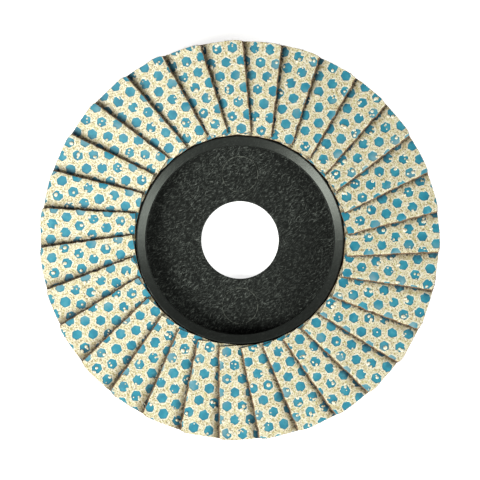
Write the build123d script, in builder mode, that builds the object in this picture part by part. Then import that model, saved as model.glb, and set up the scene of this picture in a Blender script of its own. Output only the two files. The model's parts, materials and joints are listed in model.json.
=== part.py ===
"""Flap disc, 115 mm nominal, for a 22.23 mm angle grinder arbor. All sizes are in millimetres.

The origin is the centre of the bore on the hub's back face, and +Z points to the working face.
A moulded plastic backing plate carries a bed of adhesive, and a closed ring of overlapping
abrasive flaps is bonded to that bed along each flap's buried edge.
"""

import os
from math import cos, radians, sin, sqrt, tan

from build123d import *

# Disc as a whole
ARBOR_DIAMETER = 22.23
DISC_DIAMETER = 114.3

# Backing plate, seen in section from the bore outwards
HUB_THICKNESS = 3.0
BORE_CHAMFER = 0.3
FLOOR_RADIUS = 27.0
WALL_DRAFT = 0.05
WALL_THICKNESS = 2.6
COLLAR_RADIUS = 29.55
COLLAR_LIP = 0.3
COLLAR_HEIGHT = 2.6
BEVEL_DROP = 1.2
FLANGE_BACK = 4.2
FLANGE_THICKNESS = 2.6
FLANGE_RADIUS = 53.5
FLANGE_TOP = FLANGE_BACK + FLANGE_THICKNESS
COLLAR_TOP = FLANGE_TOP + COLLAR_HEIGHT

# Stiffening ribs on the back of the flange, and ejector pin marks on the hub floor
RIB_DEPTH = 0.8
RIB_WIDTH = 1.2
RADIAL_RIB_COUNT = 24
RING_RIB_RADIUS = 41.0
EJECTOR_MARK_DIAMETER = 10.2
EJECTOR_MARK_DEPTH = 0.12
EJECTOR_MARK_RADIUS = 18.85

# Flaps: coated cloth, cut to a slightly skewed rectangle
FLAP_COUNT = 31
FLAP_WIDTH = 16.0
FLAP_THICKNESS = 0.9
FLAP_TILT = 9.3
FLAP_SKEW = 3.0
FLAP_LIFT = 8
FREE_EDGE_OFFSET = 6.1
FLAP_INNER_REACH = COLLAR_RADIUS + 0.3
FIRST_FLAP_ANGLE = 95.75
PITCH_ANGLE = 360 / FLAP_COUNT

# Adhesive bed, with one ramp under each flap
BED_INNER_RADIUS = 30.4
BED_OUTER_RADIUS = 51.5
BED_THICKNESS = 0.3
BED_TO_FLAP = 0.02
RAMP_TO_NEXT_FLAP = 0.3
RAMP_BLANK_HEIGHT = 3.0

ROOT_EDGE_OFFSET = FREE_EDGE_OFFSET - FLAP_WIDTH
ROOT_DROP = -ROOT_EDGE_OFFSET * sin(radians(FLAP_TILT))
FLAP_DATUM_HEIGHT = FLANGE_TOP + BED_THICKNESS + BED_TO_FLAP + ROOT_DROP


def flap_angle(number):
    """Direction of flap 1, 2, ... in degrees from +X. The numbers run clockwise, seen from above."""
    return FIRST_FLAP_ANGLE - (number - 1) * PITCH_ANGLE


def radial_direction(number):
    """Unit vector along the flap's length, outwards."""
    angle = radians(flap_angle(number))
    return Vector(cos(angle), sin(angle), 0)


def clockwise_direction(number):
    """Unit vector level across the flap, towards its free edge."""
    angle = radians(flap_angle(number))
    return Vector(sin(angle), -cos(angle), 0)


def flap_plane(number):
    """Plane of the flap's underside: X climbs across it to the free edge, Y runs out along it."""
    tilt = radians(FLAP_TILT)
    across = clockwise_direction(number) * cos(tilt) + Vector(0, 0, sin(tilt))
    normal = clockwise_direction(number) * -sin(tilt) + Vector(0, 0, cos(tilt))
    return Plane(origin=(0, 0, FLAP_DATUM_HEIGHT), x_dir=across, z_dir=normal)


def flap_outline():
    """Corners of a flap in its own plane. Both ends are cut at the same small skew."""
    level_offset = FREE_EDGE_OFFSET * cos(radians(FLAP_TILT))
    outer_reach = sqrt((DISC_DIAMETER / 2) ** 2 - level_offset**2)
    skew = tan(radians(FLAP_SKEW))
    return [
        (ROOT_EDGE_OFFSET, FLAP_INNER_REACH + ROOT_EDGE_OFFSET * skew),
        (FREE_EDGE_OFFSET, FLAP_INNER_REACH + FREE_EDGE_OFFSET * skew),
        (FREE_EDGE_OFFSET, outer_reach),
        (ROOT_EDGE_OFFSET, outer_reach - FLAP_WIDTH * skew),
    ]


def bending_axis(number):
    """Line that the flap bends about, along the top of its buried edge. A positive turn lifts the flap."""
    corner = flap_plane(number).from_local_coords((ROOT_EDGE_OFFSET, FLAP_INNER_REACH, FLAP_THICKNESS))
    return Axis(corner, -radial_direction(number))


def backing_plate_section():
    """Corners (radius, height) and corner radii of the plate's half section, less the bore's side."""
    seat_radius = FLOOR_RADIUS + WALL_THICKNESS
    return [
        ((seat_radius, 0), 1.0),
        ((seat_radius + WALL_DRAFT, FLANGE_BACK), 0.8),
        ((FLANGE_RADIUS, FLANGE_BACK), 0.8),
        ((FLANGE_RADIUS, FLANGE_TOP), 0.6),
        ((COLLAR_RADIUS, FLANGE_TOP), 0.2),
        ((COLLAR_RADIUS, COLLAR_TOP), 0.12),
        ((COLLAR_RADIUS - COLLAR_LIP, COLLAR_TOP), 0.12),
        ((FLOOR_RADIUS + WALL_DRAFT, COLLAR_TOP - BEVEL_DROP), 0.15),
        ((FLOOR_RADIUS, HUB_THICKNESS), 0.2),
    ]


def make_backing_plate():
    section = backing_plate_section()
    bore_radius = ARBOR_DIAMETER / 2
    with BuildPart() as backing_plate:
        with BuildSketch(Plane.XZ):
            with BuildLine():
                start = (bore_radius, 0)
                end = (bore_radius, HUB_THICKNESS)
                corners = [point for point, _ in section]
                outside = FilletPolyline(start, *corners, end, radius=[radius for _, radius in section])
                Line(outside @ 1, outside @ 0)
            make_face()
        revolve(axis=Axis.Z)

        # Ribs hang from the back of the flange: a ring, a rim and the spokes between hub and rim
        with BuildSketch(Plane.XY.offset(FLANGE_BACK - RIB_DEPTH)):
            for radius in (RING_RIB_RADIUS, FLANGE_RADIUS - RIB_WIDTH):
                Circle(radius + RIB_WIDTH / 2)
                Circle(radius - RIB_WIDTH / 2, mode=Mode.SUBTRACT)
        extrude(amount=RIB_DEPTH)
        spoke_start = section[0][0][0]
        spoke_length = FLANGE_RADIUS - RIB_WIDTH - spoke_start
        with BuildSketch(Plane.XY.offset(FLANGE_BACK - RIB_DEPTH)):
            with PolarLocations(spoke_start + spoke_length / 2, RADIAL_RIB_COUNT):
                Rectangle(spoke_length, RIB_WIDTH)
        extrude(amount=RIB_DEPTH)

        bore_edges = backing_plate.edges().filter_by(
            lambda edge: edge.geom_type == GeomType.CIRCLE and abs(edge.radius - bore_radius) < 1e-6
        )
        chamfer(bore_edges.sort_by(Axis.Z)[-1], BORE_CHAMFER)

        # Ejector pins leave two shallow round marks on the hub floor
        with BuildSketch(Plane.XY.offset(HUB_THICKNESS)):
            with Locations((0, EJECTOR_MARK_RADIUS), (0, -EJECTOR_MARK_RADIUS)):
                Circle(EJECTOR_MARK_DIAMETER / 2)
        extrude(amount=-EJECTOR_MARK_DEPTH, mode=Mode.SUBTRACT)
    return backing_plate


def make_ramp():
    """Wedge of adhesive under flap 1, from its buried edge to just short of the next flap's."""
    level_root = ROOT_EDGE_OFFSET * cos(radians(FLAP_TILT))

    def on_root_line(number, reach, clearance):
        across = clockwise_direction(number) * (level_root - clearance)
        point = radial_direction(number) * reach + across
        return (point.X, point.Y)

    inner, outer = BED_INNER_RADIUS - 2, BED_OUTER_RADIUS + 2
    with BuildPart() as ramp:
        with BuildSketch(Plane.XY.offset(FLANGE_TOP)):
            with BuildLine():
                Polyline(
                    on_root_line(1, inner, 0),
                    on_root_line(1, outer, 0),
                    on_root_line(2, outer, RAMP_TO_NEXT_FLAP),
                    on_root_line(2, inner, RAMP_TO_NEXT_FLAP),
                    close=True,
                )
            make_face()
        extrude(amount=RAMP_BLANK_HEIGHT)
        split(bisect_by=flap_plane(1).offset(-BED_TO_FLAP), keep=Keep.BOTTOM)
    return ramp


def make_adhesive_bed():
    ramp = make_ramp()
    with BuildPart() as adhesive_bed:
        with BuildSketch(Plane.XY.offset(FLANGE_TOP)):
            Circle(BED_OUTER_RADIUS + 1)
        extrude(amount=BED_THICKNESS)
        with PolarLocations(0, FLAP_COUNT):
            add(ramp.part)
        with BuildSketch(Plane.XY.offset(FLANGE_TOP)):
            Circle(BED_OUTER_RADIUS)
            Circle(BED_INNER_RADIUS, mode=Mode.SUBTRACT)
        extrude(amount=RAMP_BLANK_HEIGHT, mode=Mode.INTERSECT)
    return adhesive_bed


def make_flap(number):
    with BuildPart() as flap:
        with BuildSketch(flap_plane(number)):
            with BuildLine():
                Polyline(*flap_outline(), close=True)
            make_face()
        extrude(amount=FLAP_THICKNESS)
        RevoluteJoint("lift", axis=bending_axis(number), angular_range=(0, FLAP_LIFT))
    return flap


def write_part(built, name):
    built.part.label = name
    export_step(built.part, f"parts/{name}.step")


os.makedirs("parts", exist_ok=True)
write_part(make_backing_plate(), "backing_plate")
write_part(make_adhesive_bed(), "adhesive_bed")
for flap_number in range(1, FLAP_COUNT + 1):
    write_part(make_flap(flap_number), f"flap_{flap_number:02d}")
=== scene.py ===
"""Looks of the 115 mm diamond flap disc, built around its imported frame.

Blender works in metres. Sizes below are in millimetres, and MM turns them into metres.
Each flap is built flat in its own axes: u runs across it from the bonded edge to the free edge,
v is the distance out from the disc's axis along its length, and w stands off its top face.
"""

import json
import math
import random

import bmesh
import bpy
from mathutils import Matrix, Vector, noise
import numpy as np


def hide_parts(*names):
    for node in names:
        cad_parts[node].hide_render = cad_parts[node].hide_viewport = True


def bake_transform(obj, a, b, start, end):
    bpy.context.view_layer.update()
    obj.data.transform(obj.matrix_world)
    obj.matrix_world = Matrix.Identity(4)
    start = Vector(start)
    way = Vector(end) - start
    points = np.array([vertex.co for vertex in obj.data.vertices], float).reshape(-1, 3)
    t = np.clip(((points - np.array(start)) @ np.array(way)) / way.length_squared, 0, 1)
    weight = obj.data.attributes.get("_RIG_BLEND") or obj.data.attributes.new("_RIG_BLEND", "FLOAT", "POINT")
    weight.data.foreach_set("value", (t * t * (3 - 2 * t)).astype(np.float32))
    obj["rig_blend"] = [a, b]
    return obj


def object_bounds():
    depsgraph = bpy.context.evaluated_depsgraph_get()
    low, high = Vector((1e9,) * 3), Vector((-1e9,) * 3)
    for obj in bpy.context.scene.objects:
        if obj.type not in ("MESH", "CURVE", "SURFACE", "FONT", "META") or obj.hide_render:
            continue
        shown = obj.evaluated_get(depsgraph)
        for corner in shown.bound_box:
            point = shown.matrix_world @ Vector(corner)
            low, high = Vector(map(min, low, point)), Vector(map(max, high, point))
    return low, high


MM = 0.001

# Honeycomb coat: a net of plated diamond grit round recessed resin dots
DOT_PITCH = 4.45
DOT_ACROSS_FLATS = 2.75
DOT_DEPTH = 0.13
DOT_DRAFT = 0.985
DOT_SIZE_SPREAD = (0.97, 1.03)
DOT_DEPTH_SPREAD = (0.85, 1.15)
OUTLINE_SPREAD = (0.98, 1.015)
CORNER_SHORTFALL = 0.98
RIM_WIDTH = 0.17
RIM_HEIGHT = 0.04
POINTS_PER_SIDE = 6
NET_ROUGHNESS = 0.03
NET_LUMPS_PER_MM = 1.7
LATTICE_TURN = 1.6
BORDER_JOIN = 0.002

# Strength of the painted highlight on the plating, from 0 to 1, on a dot's lip, on the crest of its rim and
# on a drop
LIP_HIGHLIGHT = 1.0
CREST_HIGHLIGHT = 0.7
DROP_HIGHLIGHT = 0.8

# Plating that reaches into the dots: bites out of their outline, and drops
BITE_CHANCE = 0.62
BITE_DEPTHS = ((-1, 0.08), (0, 0.16), (1, 0.08))
BITE_SPREAD = (0.5, 1.3)
DROP_CHANCE = 0.74
MOST_DROPS = 3
DROP_RADIUS = (0.18, 0.55)
SMALL_DROP_BIAS = 1.3
DROP_REACH = 0.92
DROP_RISE = 0.15
DROP_STRETCH = (0.8, 1.25)
DROP_FLATNESS = 0.55
DROP_DENT = 0.06

# Cut edges of a flap, from the coat down through the cloth
PLAIN_STRIP = 2.5
COAT_EDGE = 0.24
CLOTH_EDGE = 0.3
UNDERSIDE_CLEARANCE = 0.1
UNDERSIDE_CREASES = (2, 4, 6, 9, 12)
FREE_EDGE_FRAY = 0.30
END_FRAY = 0.14
COAT_FRAY = 0.45
CLOTH_FRAY = 0.55
FRAY_SPREAD = (0.35, 1.3)
FRAY_ZONE = 0.45
EDGE_UNEVENNESS = 0.02

# Loose threads of the cloth
FREE_EDGE_THREADS = 22
OUTER_END_THREADS = 9
THREAD_LENGTH = (0.35, 1.1)
THREAD_RADIUS = (0.045, 0.085)
THREAD_SPANS = 3
THREAD_TAPER = 0.22
THREAD_ROOT = 0.15
THREAD_SWERVE = ((-0.4, 0.4), (-0.5, 0.5), (-0.35, 0.2))

# How a flap lies off the flat: a wandering free edge that rolls down, a sagging corner, ripple and warp
EDGE_WANDER = 0.2
WANDER_ZONE = 1.2
EDGE_ROLL = 0.9
EDGE_ROLL_DROP = 0.13
CORNER_SAG = 0.06
RIPPLE = 0.09
WARP = 0.12

# Outer ends, ground round on the finished disc
END_ZONE = 5.0
END_BULGE = 0.32
CORNER_WEAR = 0.45
CORNER_WEAR_WIDTH = 2.4

# Painted shade and patches of painted shadow where a flap runs under its neighbour's free edge, wider where
# the step is higher
FOOT_INNER = 31.0
FOOT_OUTER = 55.0
FOOT_FADE = 2.5
FOOT_REACH = (1.2, 3.4)
UNDER_REACH = (-1.2, -0.2)
GAP_SHADOW_REACH = 1.5

# How unevenly the flaps are laid
PITCH_JITTER = 0.42
YAW_JITTER = 0.6
END_JITTER = 0.18

# Strip of a flap, from its bonded edge, over which it bends when it lifts
BEND_STRIP = (0.3, 5)

# Seeds of each flap's two dice, before its number is added
FLAP_SEED = 1000
LAY_SEED = 5000

# Shift of the texture from one flap to the next, and the angle above which a mesh's edge is sharp
TEXTURE_STEP = 25.0
SHARP_ANGLE = 38

# Moulded plate
BEVEL_FOOT = 8.2
PIN_MARK_RADIUS = 18.85
PIN_RADIUS = 5.1
FIBRE_ANGLE = 58
FIBRE_CROSSING = 40
FIBRE_SHAPE = (4.2, 0.72, 1.0)
FIBRE_BEND = 3.2

# Studio, framed as in the photograph
VIEW_WIDTH = 136.5
LENS = 250
SENSOR = 36
LIGHT_DISTANCE = 0.7
FLOOR_GAP = 0.05
FLOOR_HALF_WIDTH = 3.0
FLOOR_GLOW = 0.8
WORLD_STRENGTH = 0.10


# ---------------------------------------------------------------- materials


class Nodes:
    """A material's node tree, with short calls to add and link its nodes."""

    def __init__(self, name):
        self.material = bpy.data.materials.new(name)
        self.material.use_nodes = True
        self.tree = self.material.node_tree
        self.tree.nodes.clear()
        self.shader = self.add("ShaderNodeBsdfPrincipled")
        output = self.add("ShaderNodeOutputMaterial")
        self.link(self.shader.outputs["BSDF"], output.inputs["Surface"])

    def add(self, kind, inputs=None, **settings):
        node = self.tree.nodes.new(kind)
        for key, value in settings.items():
            setattr(node, key, value)
        for key, value in (inputs or {}).items():
            self.put(node.inputs[key], value)
        return node

    def put(self, socket, value):
        """Links an output to the socket, or sets a plain value on it."""
        if isinstance(value, bpy.types.NodeSocket):
            self.link(value, socket)
        else:
            socket.default_value = value

    def link(self, source, target):
        self.tree.links.new(source, target)

    def set(self, **values):
        """Puts values or outputs on the Principled shader, with _ for a space in the socket's name."""
        for key, value in values.items():
            self.put(self.shader.inputs[key.replace("_", " ")], value)

    def math(self, operation, a, b=0.0):
        return self.add("ShaderNodeMath", {0: a, 1: b}, operation=operation).outputs[0]

    def noise(self, place, scale, detail=3.0, roughness=0.5):
        inputs = {"Vector": place, "Scale": scale, "Detail": detail, "Roughness": roughness}
        return self.add("ShaderNodeTexNoise", inputs).outputs["Fac"]

    def cells(self, place, scale):
        """Voronoi node, with each cell's distance and colour."""
        return self.add("ShaderNodeTexVoronoi", {"Vector": place, "Scale": scale})

    def ramp(self, factor, *stops):
        """Colour ramp through (position, colour) stops."""
        node = self.add("ShaderNodeValToRGB", {"Fac": factor})
        elements = node.color_ramp.elements
        while len(elements) < len(stops):
            elements.new(1.0)
        for element, (position, colour) in zip(elements, stops):
            element.position = position
            element.color = (*colour, 1.0)
        return node.outputs["Color"]

    def span(self, factor, low, high, from_low=0.0, from_high=1.0):
        """The factor mapped to low ... high, and held there outside the from range."""
        source = {"Value": factor, "From Min": from_low, "From Max": from_high}
        return self.add("ShaderNodeMapRange", {**source, "To Min": low, "To Max": high}).outputs["Result"]

    def mix(self, factor, a, b):
        """Mix of two colours, each an output or a plain colour."""
        node = self.add("ShaderNodeMix", data_type="RGBA")
        self.put(node.inputs["Factor"], factor)
        self.put(node.inputs["A"], a if isinstance(a, bpy.types.NodeSocket) else (*a, 1.0))
        self.put(node.inputs["B"], b if isinstance(b, bpy.types.NodeSocket) else (*b, 1.0))
        return node.outputs["Result"]

    def mix_value(self, factor, a, b):
        return self.add("ShaderNodeMix", {0: factor, 2: a, 3: b}).outputs[0]

    def attribute(self, name, output):
        return self.add("ShaderNodeAttribute", attribute_name=name).outputs[output]

    def vector(self, operation, a, b=(0.0, 0.0, 0.0)):
        return self.add("ShaderNodeVectorMath", {0: a, 1: b}, operation=operation).outputs["Vector"]

    def scaled(self, vector, factor):
        node = self.add("ShaderNodeVectorMath", {0: vector, "Scale": factor}, operation="SCALE")
        return node.outputs["Vector"]

    def axis(self, vector, name):
        """X, Y or Z of a vector."""
        return self.add("ShaderNodeSeparateXYZ", {"Vector": vector}).outputs[name]

    def channel(self, colour, name):
        """Red, Green or Blue of a colour."""
        return self.add("ShaderNodeSeparateColor", {"Color": colour}).outputs[name]

    def object_place(self):
        """Place on the piece in millimetres."""
        return self.scaled(self.add("ShaderNodeTexCoord").outputs["Object"], 1 / MM)

    def bump(self, height, distance_mm, strength, over=None):
        inputs = {"Height": height, "Distance": distance_mm * MM, "Strength": strength}
        node = self.add("ShaderNodeBump", inputs)
        if over is not None:
            self.link(over, node.inputs["Normal"])
        return node.outputs["Normal"]


def painted_foot_shade(n, place, foot):
    """Ragged factor of the painted shade: 1 at the neighbour's free edge, falling to 0 at the end of the
    foot's reach.
    """
    out = n.axis(place, "Y")
    reach = n.span(out, *FOOT_REACH, FOOT_INNER, FOOT_OUTER)
    ragged = n.span(n.noise(place, 0.9, 4.0, 0.65), -0.22, 0.22, 0.3, 0.7)
    share = n.math("ADD", n.math("DIVIDE", foot, reach), ragged)
    shade = n.math("POWER", n.span(share, 1.0, 0.0, 0.12, 1.0), 1.2)
    shade = n.math("MULTIPLY", shade, n.span(foot, 0.0, 1.0, *UNDER_REACH))
    return n.math("MULTIPLY", shade, n.span(out, 0.0, 1.0, FOOT_INNER, FOOT_INNER + FOOT_FADE))


def diamond_net_material():
    """Plated diamond grit: cream to gold grains with olive and brown between them."""
    n = Nodes("diamond_net")
    place = n.attribute("flap_place", "Vector")
    foot = n.attribute("foot", "Fac")

    # Single grains, each with a tone of its own, a few of them yellow
    grains = n.cells(place, 3.5)
    tone = grains.outputs["Color"]
    colour = n.ramp(
        n.channel(tone, "Red"),
        (0.0, (0.25, 0.18, 0.085)),
        (0.10, (0.42, 0.335, 0.165)),
        (0.24, (0.68, 0.59, 0.34)),
        (0.45, (0.90, 0.82, 0.57)),
        (1.0, (1.0, 0.97, 0.84)),
    )
    yellow = n.span(n.channel(tone, "Green"), 0.0, 0.55, 0.80, 0.88)
    colour = n.mix(yellow, colour, (0.64, 0.61, 0.17))

    # Brown between the grains, slow mottling, and a painted highlight on the rims
    gap = n.span(grains.outputs["Distance"], 0.0, 0.55, 0.32, 0.62)
    colour = n.mix(n.math("MULTIPLY", gap, 0.5), colour, (0.30, 0.21, 0.105))
    mottle = n.noise(place, 0.8, 4.0, 0.6)
    colour = n.mix(n.span(mottle, 0.16, 0.0, 0.36, 0.6), colour, (0.48, 0.38, 0.22))
    patchy = n.span(n.noise(place, 1.6, 2.0), 0.15, 0.75, 0.38, 0.6)
    # Painted highlight: the rim attribute lightens the net towards near-white, in patches
    rim_highlight = n.math("MULTIPLY", n.attribute("rim", "Fac"), patchy)
    colour = n.mix(rim_highlight, colour, (1.0, 0.97, 0.86))

    # Painted shade, and black patches of painted shadow in the gaps, at the foot of the neighbour's step
    shade = n.math("MULTIPLY", painted_foot_shade(n, place, foot), 0.76)
    colour = n.mix(shade, colour, (0.155, 0.104, 0.047))
    # Black patches of painted shadow in the ragged gaps under the neighbour's overhanging edge
    shadow_gaps = n.math("SUBTRACT", n.noise(place, 1.5, 5.0, 0.7), n.span(foot, 0.0, 0.2, 0.3, GAP_SHADOW_REACH))
    gap_shadow = n.math("MULTIPLY", n.span(shadow_gaps, 0.0, 1.0, 0.41, 0.46), n.span(foot, 1.0, 0.0, 1.1, GAP_SHADOW_REACH))
    gap_shadow = n.math("MULTIPLY", gap_shadow, n.span(foot, 0.0, 0.8, *UNDER_REACH))
    colour = n.mix(gap_shadow, colour, (0.018, 0.012, 0.006))

    n.set(Base_Color=colour, Metallic=0.1, Specular_IOR_Level=0.6)
    n.set(Roughness=n.span(n.channel(tone, "Blue"), 0.24, 0.6))
    coarse = n.bump(n.math("SUBTRACT", 1.0, grains.outputs["Distance"]), 0.1, 0.7)
    n.set(Normal=n.bump(n.noise(place, 9.0, 2.0), 0.04, 0.5, over=coarse))
    return n.material


def resin_dot_material(flap_width):
    """Teal resin at the bottom of the dots, with a few grains on it, a pale painted sheen near the free edge
    and painted shade at the foot of the neighbour's step.
    """
    n = Nodes("resin_dot")
    place = n.attribute("flap_place", "Vector")
    colour = n.ramp(
        n.noise(place, 0.45, 2.0),
        (0.3, (0.008, 0.202, 0.315)),
        (0.52, (0.016, 0.258, 0.375)),
        (0.72, (0.055, 0.318, 0.425)),
    )
    speck = n.span(n.cells(place, 3.4).outputs["Distance"], 1.0, 0.0, 0.06, 0.12)
    colour = n.mix(n.math("MULTIPLY", speck, 0.3), colour, (0.35, 0.62, 0.66))
    # Painted sheen: dots near the free edge are made paler, in patches
    near_edge = n.span(n.axis(place, "X"), 0.0, 1.0, flap_width - 3.2, flap_width - 0.2)
    painted_sheen = n.math("MULTIPLY", near_edge, n.span(n.noise(place, 0.16, 2.0), 0.0, 0.75, 0.46, 0.64))
    colour = n.mix(painted_sheen, colour, (0.27, 0.42, 0.46))
    # Painted shade at the foot of the neighbour's step: the resin darkens nearly to black
    shade = n.math("MULTIPLY", painted_foot_shade(n, place, n.attribute("foot", "Fac")), 0.95)
    colour = n.mix(shade, colour, (0.001, 0.022, 0.045))
    n.set(Base_Color=colour, Specular_IOR_Level=0.85)
    n.set(Roughness=n.span(n.noise(place, 2.2, 2.0), 0.42, 0.54))
    n.set(Normal=n.bump(n.noise(place, 3.0, 3.0), 0.03, 0.35))
    return n.material


def coat_edge_material():
    """Cut edge of the coat: tan resin and a coppery line of plating."""
    n = Nodes("coat_edge")
    place = n.attribute("flap_place", "Vector")
    colour = n.ramp(
        n.noise(place, 3.5, 4.0, 0.65),
        (0.38, (0.060, 0.030, 0.012)),
        (0.52, (0.27, 0.155, 0.075)),
        (0.68, (0.66, 0.50, 0.30)),
    )
    n.set(Base_Color=colour, Roughness=0.6)
    n.set(Normal=n.bump(n.noise(place, 6.0, 3.0), 0.05, 0.6))
    return n.material


def cloth_material():
    """Resin-stiffened brown cloth: a plain weave of threads about half a millimetre apart."""
    n = Nodes("cloth")
    place = n.attribute("flap_place", "Vector")
    warp = n.add("ShaderNodeTexWave", {"Vector": place, "Scale": 0.62, "Distortion": 0.5, "Detail": 1.0})
    warp.bands_direction = "X"
    weft = n.add("ShaderNodeTexWave", {"Vector": place, "Scale": 0.55, "Distortion": 0.5, "Detail": 1.0})
    weft.bands_direction = "Y"
    checks = n.add("ShaderNodeTexChecker", {"Vector": place, "Scale": 1.24})
    weave = n.mix(checks.outputs["Fac"], warp.outputs["Color"], weft.outputs["Color"])
    stain = n.noise(place, 0.5, 4.0, 0.6)
    colour = n.ramp(
        stain,
        (0.3, (0.050, 0.026, 0.011)),
        (0.5, (0.165, 0.092, 0.042)),
        (0.7, (0.40, 0.27, 0.15)),
    )
    colour = n.mix(n.span(weave, 0.55, 0.0), colour, (0.05, 0.026, 0.014))
    n.set(Base_Color=colour, Sheen_Weight=0.1, Sheen_Roughness=0.5)
    n.set(Roughness=n.span(stain, 0.85, 0.6))
    n.set(Normal=n.bump(weave, 0.12, 0.8))
    return n.material


def moulded_nylon_material():
    """Near-black nylon filled with short glass fibres, with a smooth bevel and two pin marks."""
    n = Nodes("moulded_nylon")
    place = n.object_place()
    height = n.axis(place, "Z")

    # Fibres lie along the flow of the melt, bent a little from place to place
    bend = n.add("ShaderNodeTexNoise", {"Vector": place, "Scale": 0.16, "Detail": 2.0}).outputs["Color"]
    bend = n.scaled(n.vector("SUBTRACT", bend, (0.5, 0.5, 0.5)), FIBRE_BEND)
    bent = n.vector("ADD", place, bend)

    def strands(angle, scale, seed):
        """Streaky noise whose strands lie at an angle in degrees from +X."""
        turn = {"Vector": bent, "Location": (seed, 0, 0), "Rotation": (0, 0, math.radians(angle))}
        turned = n.add("ShaderNodeMapping", {**turn, "Scale": FIBRE_SHAPE}, vector_type="TEXTURE")
        return n.noise(turned.outputs["Vector"], scale, 3.0, 0.6)

    crossing = strands(FIBRE_ANGLE - FIBRE_CROSSING, 2.8, 31.0)
    fibres = n.math("MAXIMUM", strands(FIBRE_ANGLE, 3.0, 0.0), crossing)
    tangle = n.noise(place, 1.5, 4.0, 0.65)
    fibre = n.math("ADD", n.math("MULTIPLY", fibres, 0.74), n.math("MULTIPLY", tangle, 0.26))
    colour = n.ramp(
        fibre,
        (0.45, (0.0020, 0.0022, 0.0021)),
        (0.53, (0.0085, 0.0095, 0.0090)),
        (0.60, (0.0540, 0.0600, 0.0550)),
        (0.70, (0.2300, 0.2500, 0.2300)),
    )
    flow = n.span(n.noise(place, 0.09, 2.0), 0.0, 0.45, 0.4, 0.7)
    colour = n.mix(flow, colour, (0.0070, 0.0078, 0.0074))

    # A pale fleck in about one cell of five
    flecks = n.cells(place, 1.05)
    near = n.span(flecks.outputs["Distance"], 1.0, 0.0, 0.07, 0.17)
    chosen = n.span(n.channel(flecks.outputs["Color"], "Red"), 0.0, 1.0, 0.80, 0.84)
    fleck = n.math("MULTIPLY", n.math("MULTIPLY", near, chosen), 0.3)
    colour = n.mix(fleck, colour, (0.30, 0.32, 0.30))

    # The bevel round the recess was polished in the mould, so few fibres show on it
    polished = n.span(height, 0.0, 1.0, BEVEL_FOOT - 0.2, BEVEL_FOOT)
    colour = n.mix(n.math("MULTIPLY", polished, 0.8), colour, (0.0165, 0.0185, 0.0170))

    # Painted highlight on the edge of each ejector pin mark, on the hub's front only
    mirrored = n.vector("ABSOLUTE", n.vector("MULTIPLY", place, (1.0, 1.0, 0.0)))
    pin = {0: mirrored, 1: (0, PIN_MARK_RADIUS, 0)}
    from_pin = n.add("ShaderNodeVectorMath", pin, operation="DISTANCE").outputs["Value"]
    off_ring = n.math("ABSOLUTE", n.math("SUBTRACT", from_pin, PIN_RADIUS))
    off_ring = n.math("ADD", off_ring, n.span(height, 1.0, 0.0, 1.5, 2.5))
    broken = n.span(tangle, 0.1, 1.0, 0.42, 0.6)
    ring = n.math("MULTIPLY", n.span(off_ring, 1.0, 0.0, 0.04, 0.13), broken)
    colour = n.mix(n.math("MULTIPLY", ring, 0.45), colour, (0.30, 0.32, 0.28))

    n.set(Base_Color=colour, Specular_IOR_Level=n.span(polished, 0.22, 0.5))
    n.set(Specular_Tint=(0.93, 1.0, 0.93, 1.0))
    rough = n.span(fibre, 0.66, 0.48, 0.45, 0.66)
    n.set(Roughness=n.mix_value(polished, rough, 0.37))
    lumps = n.bump(tangle, 0.05, 0.35)
    relief = n.math("MULTIPLY", fibre, n.span(polished, 1.0, 0.42))
    n.set(Normal=n.bump(relief, 0.16, 0.6, over=lumps))
    return n.material


def epoxy_material():
    """Cured adhesive: dark amber, with bubbles and a wavy gloss."""
    n = Nodes("epoxy")
    place = n.object_place()
    cloud = n.noise(place, 0.35, 3.0)
    colour = n.ramp(cloud, (0.3, (0.10, 0.045, 0.014)), (0.7, (0.26, 0.14, 0.05)))
    bubble = n.span(n.cells(place, 0.9).outputs["Distance"], 1.0, 0.0, 0.12, 0.2)
    colour = n.mix(n.math("MULTIPLY", bubble, 0.35), colour, (0.4, 0.27, 0.13))
    n.set(Base_Color=colour, Coat_Weight=0.3, Coat_Roughness=0.2)
    n.set(Roughness=n.span(cloud, 0.28, 0.48))
    n.set(Normal=n.bump(n.noise(place, 0.8, 2.0), 0.3, 0.5))
    return n.material


def floor_material():
    """Pale studio sweep with a barely visible grain."""
    n = Nodes("studio_floor")
    place = n.object_place()
    colour = n.ramp(n.noise(place, 0.02, 3.0), (0.3, (0.90, 0.90, 0.90)), (0.7, (0.93, 0.93, 0.93)))
    n.set(Base_Color=colour, Roughness=0.75, Specular_IOR_Level=0.2)
    n.set(Emission_Color=(1.0, 1.0, 1.0, 1.0), Emission_Strength=FLOOR_GLOW)
    return n.material


# ---------------------------------------------------------------- flaps


def flap_axes(node, joint):
    """Matrix from a flap's own u, v, w in millimetres to the disc's frame, read off its CAD slab."""
    slab = node.data
    top = max(slab.polygons, key=lambda face: face.area * face.normal.z)
    out = -Vector(joint["axis"]).normalized()
    up = top.normal.normalized()
    across = out.cross(up).normalized()
    pivot = Vector(joint["pos_m"])
    origin = pivot - out * pivot.dot(out)
    turn = Matrix((across, out, up)).transposed().to_4x4()
    return Matrix.Translation(origin) @ turn @ Matrix.Scale(MM, 4)


def slab_size(node, axes):
    """Width, ends and thickness of a slab. Each end is its v at the bonded and at the free edge."""
    corners = [axes.inverted() @ vertex.co for vertex in node.data.vertices]
    width = max(c.x for c in corners)
    bonded = [c.y for c in corners if c.x < width / 2]
    free = [c.y for c in corners if c.x > width / 2]
    thickness = -min(c.z for c in corners)
    return width, (min(bonded), min(free)), (max(bonded), max(free)), thickness


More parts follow.
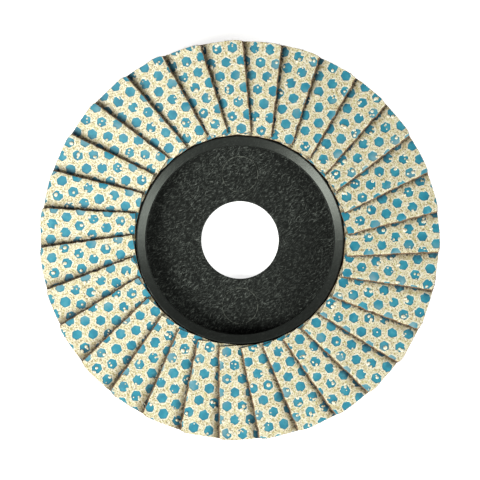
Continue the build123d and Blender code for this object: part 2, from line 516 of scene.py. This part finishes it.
class Lay:
    """Where one flap lies: its slab's size, its ends as trimmed, and its axes as unevenly laid."""

    def __init__(self, number, node, joint):
        dice = random.Random(LAY_SEED + number)
        self.number, self.name = number, node.name
        self.axes = flap_axes(node, joint)
        self.width, inner, outer, self.thickness = slab_size(node, self.axes)
        self.inner = tuple(v + dice.uniform(0, END_JITTER) for v in inner)
        shorter = dice.uniform(0, END_JITTER)
        self.outer = tuple(v - shorter for v in outer)
        self.middle = (self.inner[0] + self.outer[0]) / 2
        yaw = math.radians(dice.uniform(-YAW_JITTER, YAW_JITTER))
        centre = Vector((self.width / 2, self.middle, 0))
        spin = Matrix.Translation(centre) @ Matrix.Rotation(yaw, 4, "Z") @ Matrix.Translation(-centre)
        nudge = Matrix.Rotation(math.radians(dice.uniform(-PITCH_JITTER, PITCH_JITTER)), 4, "Z")
        self.laid = nudge @ self.axes @ spin

    def inner_at(self, u):
        return self.inner[0] + (self.inner[1] - self.inner[0]) * (u / self.width)

    def outer_at(self, u):
        return self.outer[0] + (self.outer[1] - self.outer[0]) * (u / self.width)

    def sides(self):
        """(point on it, outward normal) of the free edge, inner end, outer end and bonded edge."""
        run = Vector((self.width, self.inner[1] - self.inner[0], 0)).normalized()
        out = Vector((-run.y, run.x, 0))
        across = Vector((1, 0, 0))
        return [
            (Vector((self.width, 0, 0)), across),
            (Vector((0, self.inner[0], 0)), -out),
            (Vector((0, self.outer[0], 0)), out),
            (Vector((0, 0, 0)), -across),
        ]

    def beyond_free_edge(self, place):
        """How far a place on the disc lies past this flap's free edge, in millimetres seen from above."""
        start = self.laid @ Vector((self.width, self.inner[1], 0))
        along = (self.laid @ Vector((self.width, self.outer[1], 0)) - start).to_2d().normalized()
        across = Vector((along.y, -along.x))
        return across.dot((place - start).to_2d()) / MM


def hexagon():
    """Points round a hexagon of circumradius 1, with two corners on the v axis."""
    corners = [Vector((math.cos(a), math.sin(a))) for a in (math.radians(30 + 60 * k) for k in range(7))]
    points = []
    for start, end in zip(corners, corners[1:]):
        points += [start.lerp(end, k / POINTS_PER_SIDE) for k in range(POINTS_PER_SIDE)]
    return points


# Numbers of a flap's materials
NET, RESIN, COAT, CLOTH = range(4)


class Patch:
    """A flap's coat as it is gathered: its points, each with the strength of its painted highlight, and its
    faces with materials.
    """

    def __init__(self, seed):
        self.points, self.polish, self.faces, self.materials = [], [], [], []
        self.grain = Vector((seed * 7.3, seed * 3.1, seed * 5.7))

    def ring(self, places, height, polish, roughness):
        """Adds a closed ring of points, unevenly high, and gives their numbers."""
        first = len(self.points)
        for place in places:
            lump = noise.noise(Vector((place.x, place.y, 0)) * NET_LUMPS_PER_MM + self.grain)
            self.points.append(Vector((place.x, place.y, height + roughness * lump)))
            self.polish.append(polish)
        return range(first, len(self.points))

    def band(self, inner, outer, material):
        """Joins two rings with a band of faces."""
        count = len(inner)
        for k in range(count):
            after = (k + 1) % count
            self.faces.append((inner[k], outer[k], outer[after], inner[after]))
            self.materials.append(material)

    def fan(self, centre, places, material):
        """Adds a point and a level ring round it, filled with faces, and gives the ring's numbers."""
        hub = len(self.points)
        self.points.append(centre)
        self.polish.append(0.0)
        ring = self.ring(places, centre.z, 0.0, 0.0)
        for k in range(len(ring)):
            self.faces.append((hub, ring[k], ring[(k + 1) % len(ring)]))
            self.materials.append(material)
        return ring


def ragged_outline(count, dice):
    """Radii of a dot's outline: nearly even, a little short at its corners, with bites out of some dots."""
    radius = DOT_ACROSS_FLATS / math.sqrt(3) * dice.uniform(*DOT_SIZE_SPREAD)
    ragged = [radius * dice.uniform(*OUTLINE_SPREAD) for _ in range(count)]
    for corner in range(0, count, POINTS_PER_SIDE):
        ragged[corner] *= CORNER_SHORTFALL
    while dice.random() < BITE_CHANCE:
        bite = dice.randrange(count)
        for step, depth in BITE_DEPTHS:
            ragged[(bite + step) % count] *= 1 - depth * dice.uniform(*BITE_SPREAD)
    return radius, ragged


def add_cell(patch, centre, turn, dice):
    """One cell of the honeycomb: the dot's floor, its ragged wall and rim, and its share of the net."""
    shape = [turn @ point for point in hexagon()]
    cell_radius = DOT_PITCH / math.sqrt(3)
    dot_radius, ragged = ragged_outline(len(shape), dice)
    wall = [centre + point * r for point, r in zip(shape, ragged)]
    rim = [centre + point * (r + RIM_WIDTH) for point, r in zip(shape, ragged)]
    edge = [centre + point * cell_radius for point in shape]
    middle = [a.lerp(b, 0.5) for a, b in zip(rim, edge)]
    floor = -DOT_DEPTH * dice.uniform(*DOT_DEPTH_SPREAD)

    base = [centre + (point - centre) * DOT_DRAFT for point in wall]
    bottom = patch.fan(Vector((centre.x, centre.y, floor)), base, RESIN)
    # The lip and the crest carry the painted highlight
    lip = patch.ring(wall, RIM_HEIGHT * 0.5, LIP_HIGHLIGHT, NET_ROUGHNESS)
    crest = patch.ring(rim, RIM_HEIGHT, CREST_HIGHLIGHT, NET_ROUGHNESS)
    valley = patch.ring(middle, 0.0, 0.0, NET_ROUGHNESS)
    border = patch.ring(edge, 0.0, 0.0, NET_ROUGHNESS)
    for inner, outer in ((bottom, lip), (lip, crest), (crest, valley), (valley, border)):
        patch.band(inner, outer, NET)
    return floor, dot_radius


def drops_of(centre, floor, dot_radius, dice):
    """Places and sizes of the plating drops in one dot."""
    drops = []
    while dice.random() < DROP_CHANCE and len(drops) < MOST_DROPS:
        reach = dot_radius * math.sqrt(dice.random()) * DROP_REACH
        angle = dice.uniform(0, 2 * math.pi)
        place = centre + Vector((math.cos(angle), math.sin(angle))) * reach
        smallest, largest = DROP_RADIUS
        size = smallest + (largest - smallest) * dice.random() ** SMALL_DROP_BIAS
        drops.append((Vector((place.x, place.y, floor + size * DROP_RISE)), size))
    return drops


def coat_patch(lay, dice):
    """Honeycomb that covers a flap and a little more, and the drops on it."""
    patch, drops = Patch(lay.number), []
    turn = Matrix.Rotation(math.radians(dice.uniform(-LATTICE_TURN, LATTICE_TURN)), 2)
    row_step = DOT_PITCH * math.sqrt(3) / 2
    low, high = min(lay.inner), max(lay.outer)
    start = Vector((dice.uniform(0, DOT_PITCH), low - dice.uniform(0, 2 * row_step)))

    # The lattice is turned and shifted, so it starts with spare cells, and those off the flap are skipped
    margin = DOT_PITCH * 0.6
    for row in range(-1, int((high - start.y) / row_step) + 3):
        for column in range(-2, int(lay.width / DOT_PITCH) + 3):
            shift = 0.5 * (row % 2)
            centre = turn @ Vector(((column + shift) * DOT_PITCH, row * row_step)) + start
            beside = PLAIN_STRIP - margin < centre.x < lay.width + margin
            between = low - margin < centre.y < high + margin
            if beside and between:
                floor, dot_radius = add_cell(patch, centre, turn, dice)
                drops += drops_of(centre, floor, dot_radius, dice)
    return patch, drops


def patch_mesh(patch):
    """The patch as a bmesh with its cells joined along their borders."""
    bm = bmesh.new()
    # The rim attribute holds the strength of each point's painted highlight
    rim = bm.verts.layers.float.new("rim")
    made = []
    for point, polish in zip(patch.points, patch.polish):
        vertex = bm.verts.new(point)
        vertex[rim] = polish
        made.append(vertex)
    for face, material in zip(patch.faces, patch.materials):
        bm.faces.new([made[k] for k in face]).material_index = material
    bmesh.ops.remove_doubles(bm, verts=bm.verts, dist=BORDER_JOIN)
    return bm


def cut(bm, place, normal):
    """Cuts away what lies beyond a plane."""
    everything = bm.verts[:] + bm.edges[:] + bm.faces[:]
    plane = {"plane_co": place, "plane_no": normal}
    bmesh.ops.bisect_plane(bm, geom=everything, dist=1e-5, clear_outer=True, **plane)


def open_edges(bm):
    return [edge for edge in bm.edges if len(edge.link_faces) == 1]


def skirt(bm, edges, material, move):
    """Grows faces from open edges. move gives the place of each new vertex from the old one's."""
    grown = bmesh.ops.extrude_edge_only(bm, edges=edges)["geom"]
    for item in grown:
        if isinstance(item, bmesh.types.BMVert):
            item.co = move(item.co)
        elif isinstance(item, bmesh.types.BMFace):
            item.material_index = material
    return [item for item in grown if isinstance(item, bmesh.types.BMEdge) and len(item.link_faces) == 1]


def add_plain_strip(bm, lay):
    """Carries the net on to the bonded edge, in two steps and without dots, where the neighbour hides it."""
    step = PLAIN_STRIP / 2
    skew = (lay.inner[1] - lay.inner[0]) / lay.width
    for _ in range(2):
        front = min(vertex.co.x for vertex in bm.verts)
        edges = [e for e in open_edges(bm) if max(v.co.x for v in e.verts) < front + 1e-3]
        skirt(bm, edges, NET, lambda co: Vector((co.x - step, co.y - step * skew, 0)))


def add_edges(bm, lay, dice):
    """Grows the cut edges of coat and cloth, and the cloth's underside."""
    sides = list(zip(lay.sides(), (FREE_EDGE_FRAY, END_FRAY, END_FRAY, 0.0)))

    def outward(co, level, spread):
        """Moves a border point down to the level and out by its sides' fray."""
        push = Vector((0, 0, 0))
        for (place, normal), fray in sides:
            if abs((co - place).dot(normal)) < FRAY_ZONE:
                push += normal * fray * spread * dice.uniform(*FRAY_SPREAD)
        level += dice.uniform(-EDGE_UNEVENNESS, EDGE_UNEVENNESS)
        return Vector((co.x + push.x, co.y + push.y, level))

    bottom = UNDERSIDE_CLEARANCE - lay.thickness
    border = skirt(bm, open_edges(bm), COAT, lambda co: outward(co, -COAT_EDGE, COAT_FRAY))
    border = skirt(bm, border, CLOTH, lambda co: outward(co, -COAT_EDGE - CLOTH_EDGE, CLOTH_FRAY))
    border = skirt(bm, border, CLOTH, lambda co: Vector((co.x, co.y, bottom)))
    under = bmesh.ops.edgeloop_fill(bm, edges=border)["faces"]
    for face in under:
        face.material_index = CLOTH
    for u in UNDERSIDE_CREASES:
        geometry = list(dict.fromkeys(g for f in under for g in (f, *f.edges, *f.verts)))
        plane = {"plane_co": (u, 0, 0), "plane_no": (1, 0, 0)}
        done = bmesh.ops.bisect_plane(bm, geom=geometry, dist=1e-5, **plane)
        under = [g for g in done["geom"] if isinstance(g, bmesh.types.BMFace)]


def add_drops(bm, lay, drops, dice):
    """Drops of plating, as lumps half sunk in the dots. Those that an edge would cut are left out."""
    rim = bm.verts.layers.float["rim"]
    for place, size in drops:
        low, high = lay.inner_at(place.x) + size, lay.outer_at(place.x) - size
        if not (PLAIN_STRIP < place.x < lay.width - size and low < place.y < high):
            continue
        stretch = [size * dice.uniform(*DROP_STRETCH) for _ in range(2)]
        shape = Matrix.Translation(place) @ Matrix.Diagonal((*stretch, size * DROP_FLATNESS, 1.0))
        made = bmesh.ops.create_icosphere(bm, subdivisions=2, radius=1.0, matrix=shape)["verts"]
        for vertex in made:
            vertex.co += Vector([dice.uniform(-DROP_DENT, DROP_DENT) * size for _ in range(3)])
            # Painted highlight on each drop, carried by the rim attribute
            vertex[rim] = DROP_HIGHLIGHT
        for face in {f for vertex in made for f in vertex.link_faces}:
            face.material_index = NET


def add_thread(bm, root, heading, dice):
    """Loose thread of the cloth: a thin three-sided tube that bends as it goes."""
    length, radius = dice.uniform(*THREAD_LENGTH), dice.uniform(*THREAD_RADIUS)
    rings, place, aim = [], root, heading.normalized()
    for step in range(THREAD_SPANS + 1):
        side = aim.orthogonal().normalized() * radius * (1 - THREAD_TAPER * step)
        turns = [Matrix.Rotation(math.radians(120 * k), 3, aim) for k in range(3)]
        rings.append([bm.verts.new(place + turn @ side) for turn in turns])
        swerve = Vector([dice.uniform(*limits) for limits in THREAD_SWERVE])
        aim = (aim + swerve).normalized()
        place = place + aim * length / THREAD_SPANS
    for a, b in zip(rings, rings[1:]):
        for k, after in ((0, 1), (1, 2), (2, 0)):
            bm.faces.new((a[k], a[after], b[after], b[k])).material_index = CLOTH
    for end in (rings[0][::-1], rings[-1]):
        bm.faces.new(end).material_index = CLOTH


def add_threads(bm, lay, dice):
    """Frays the cloth along the free edge, and along the outer end towards its free corner."""
    for _ in range(FREE_EDGE_THREADS):
        v = dice.uniform(lay.inner[1], lay.outer[1])
        depth = COAT_EDGE + dice.uniform(0.05, CLOTH_EDGE)
        root = Vector((lay.width - THREAD_ROOT, v, -depth))
        add_thread(bm, root, Vector((0.6, dice.uniform(-1, 1), -0.15)), dice)
    for _ in range(OUTER_END_THREADS):
        u = lay.width * (1 - 0.45 * dice.random() ** 2)
        root = Vector((u, lay.outer_at(u) - THREAD_ROOT, -COAT_EDGE - CLOTH_EDGE / 2))
        add_thread(bm, root, Vector((dice.uniform(-1, 1), 0.6, -0.1)), dice)


def wobble(x, y, z=0.0):
    """Smooth noise between -1 and 1."""
    return noise.noise(Vector((x, y, z)))


def settle(place, lay):
    """Where a point of the flat flap ends up in the flap's own axes, once it has bent and worn.

    The seed takes each flap to a stretch of the noise of its own.
    """
    u, v, w = place
    width, seed = lay.width, lay.number

    # The free edge wanders and rolls down, and the outer free corner sags
    at_edge = min(1.0, max(0.0, u - width + WANDER_ZONE) / WANDER_ZONE)
    u += EDGE_WANDER * at_edge * (wobble(v * 0.55, seed * 3.3) + 0.6 * wobble(v * 2.1, seed * 5.9))
    beyond = max(0.0, u - (width - EDGE_ROLL)) / EDGE_ROLL
    w -= EDGE_ROLL_DROP * beyond**2
    along = (v - lay.inner[0]) / (lay.outer[0] - lay.inner[0])
    w -= CORNER_SAG * max(0.0, along) ** 2 * (u / width) ** 2
    w += RIPPLE * (u / width) * wobble(u * 0.09, v * 0.13, seed * 4.7)

    # The outer end is ground round: full in its middle, worn away at its free corner
    at_end = max(0.0, 1 - (lay.outer_at(u) - v) / END_ZONE)
    worn = max(0.0, u - (width - CORNER_WEAR_WIDTH)) / CORNER_WEAR_WIDTH
    off_middle = (u - width / 2) / (width / 2)
    v += at_end * (END_BULGE * max(0.0, 1 - off_middle**2) - CORNER_WEAR * worn**2)

    # The whole cloth is a little out of square
    weave = Vector((u * 0.25, v * 0.4, seed * 9.1))
    apart = Vector((40, 0, 0))
    return Vector((u + WARP * noise.noise(weave), v + WARP * noise.noise(weave + apart), w))


def flat_flap(lay, dice):
    """The whole flap as a flat bmesh in its own axes."""
    patch, drops = coat_patch(lay, dice)
    bm = patch_mesh(patch)
    free_edge, inner_end, outer_end, _ = lay.sides()
    strip_edge = (Vector((PLAIN_STRIP, 0, 0)), Vector((-1, 0, 0)))
    for place, normal in (free_edge, strip_edge, inner_end, outer_end):
        cut(bm, place, normal)
    add_plain_strip(bm, lay)
    add_edges(bm, lay, dice)
    add_drops(bm, lay, drops, dice)
    add_threads(bm, lay, dice)
    return bm


def make_flap(lay, over, materials):
    """One flap. over is the lay of the neighbour whose free edge lies on it."""
    mesh = bpy.data.meshes.new(f"diamond_{lay.name}")
    bm = flat_flap(lay, random.Random(FLAP_SEED + lay.number))
    bm.to_mesh(mesh)
    bm.free()
    for name, kind in (("flap_place", "FLOAT_VECTOR"), ("foot", "FLOAT")):
        mesh.attributes.new(name, kind, "POINT")
    texture = Vector((0, 0, TEXTURE_STEP * lay.number))
    places, feet = mesh.attributes["flap_place"].data, mesh.attributes["foot"].data
    for vertex, place, foot in zip(mesh.vertices, places, feet):
        flat = vertex.co.copy()
        vertex.co = lay.laid @ settle(flat, lay)
        place.vector = flat + texture
        foot.value = over.beyond_free_edge(vertex.co)
    for material in materials:
        mesh.materials.append(material)
    mesh.polygons.foreach_set("use_smooth", [True] * len(mesh.polygons))
    mesh.set_sharp_from_angle(angle=math.radians(SHARP_ANGLE))

    piece = bpy.data.objects.new(f"diamond_{lay.name}", mesh)
    bpy.context.scene.collection.objects.link(piece)
    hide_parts(lay.name)
    start, end = (lay.axes @ Vector((u, lay.middle, 0)) for u in BEND_STRIP)
    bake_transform(piece, "disc", lay.name, start=start, end=end)


# ---------------------------------------------------------------- studio


def soft_box(name, target, bearing, elevation, size, watts, colour):
    """Disc light aimed at the target. The bearing runs clockwise from +Y, seen from above."""
    light = bpy.data.lights.new(name, "AREA")
    light.shape = "DISK"
    light.size = size
    light.energy = watts
    light.color = colour
    lamp = bpy.data.objects.new(name, light)
    bpy.context.scene.collection.objects.link(lamp)
    turn, rise = math.radians(bearing), math.radians(elevation)
    away = Vector((math.sin(turn) * math.cos(rise), math.cos(turn) * math.cos(rise), math.sin(rise)))
    lamp.location = target + away * LIGHT_DISTANCE
    lamp.rotation_euler = away.to_track_quat("Z", "Y").to_euler()


def make_floor(level):
    mesh = bpy.data.meshes.new("studio_floor")
    half = FLOOR_HALF_WIDTH
    corners = [(-half, -half, level), (half, -half, level), (half, half, level), (-half, half, level)]
    mesh.from_pydata(corners, [], [(0, 1, 2, 3)])
    mesh.materials.append(floor_material())
    floor = bpy.data.objects.new("studio_floor", mesh)
    bpy.context.scene.collection.objects.link(floor)


def make_world():
    world = bpy.data.worlds.new("studio")
    world.use_nodes = True
    background = world.node_tree.nodes["Background"]
    background.inputs["Color"].default_value = (1.0, 1.0, 1.0, 1.0)
    background.inputs["Strength"].default_value = WORLD_STRENGTH
    bpy.context.scene.world = world


def make_camera(top):
    """Camera straight above the bore. top is the height of the object."""
    scene = bpy.context.scene
    camera_data = bpy.data.cameras.new("camera")
    camera_data.lens = LENS
    camera_data.sensor_width = SENSOR
    camera = bpy.data.objects.new("camera", camera_data)
    scene.collection.objects.link(camera)
    distance = VIEW_WIDTH * MM * LENS / SENSOR
    camera.location = (0, 0, top + distance)
    camera_data.clip_start, camera_data.clip_end = 0.01, 20
    scene.camera = camera
    scene.view_settings.view_transform = "Standard"


def give_material(node, material):
    """Puts a material on a CAD node in place of its plain one."""
    node.data.materials.clear()
    node.data.materials.append(material)


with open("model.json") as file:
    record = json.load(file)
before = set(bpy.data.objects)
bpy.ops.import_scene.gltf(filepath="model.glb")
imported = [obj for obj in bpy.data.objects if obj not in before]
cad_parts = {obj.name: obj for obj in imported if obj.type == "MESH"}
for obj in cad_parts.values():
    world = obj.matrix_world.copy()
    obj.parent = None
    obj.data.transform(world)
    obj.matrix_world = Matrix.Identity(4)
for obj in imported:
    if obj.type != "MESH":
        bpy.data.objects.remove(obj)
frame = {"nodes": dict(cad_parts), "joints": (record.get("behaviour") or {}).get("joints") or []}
cad_low, cad_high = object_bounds()

middle = (cad_low + cad_high) / 2
make_floor(cad_low.z - FLOOR_GAP * MM)
make_world()
soft_box("key", middle, bearing=238, elevation=36, size=0.40, watts=6.6, colour=(0.985, 1.0, 0.94))
soft_box("fill", middle, bearing=108, elevation=27, size=0.42, watts=4.5, colour=(0.97, 1.0, 0.94))
make_camera(cad_high.z)

give_material(frame["nodes"]["backing_plate"], moulded_nylon_material())
give_material(frame["nodes"]["adhesive_bed"], epoxy_material())

joints = {joint["child"]: joint for joint in frame["joints"]}
lays = [Lay(n, frame["nodes"][name], joints[name]) for n, name in enumerate(sorted(joints), 1)]

# Materials in the order of NET, RESIN, COAT and CLOTH
flap_materials = [
    diamond_net_material(),
    resin_dot_material(lays[0].width),
    coat_edge_material(),
    cloth_material(),
]
for over, lay in zip(lays[-1:] + lays[:-1], lays):
    make_flap(lay, over, flap_materials)
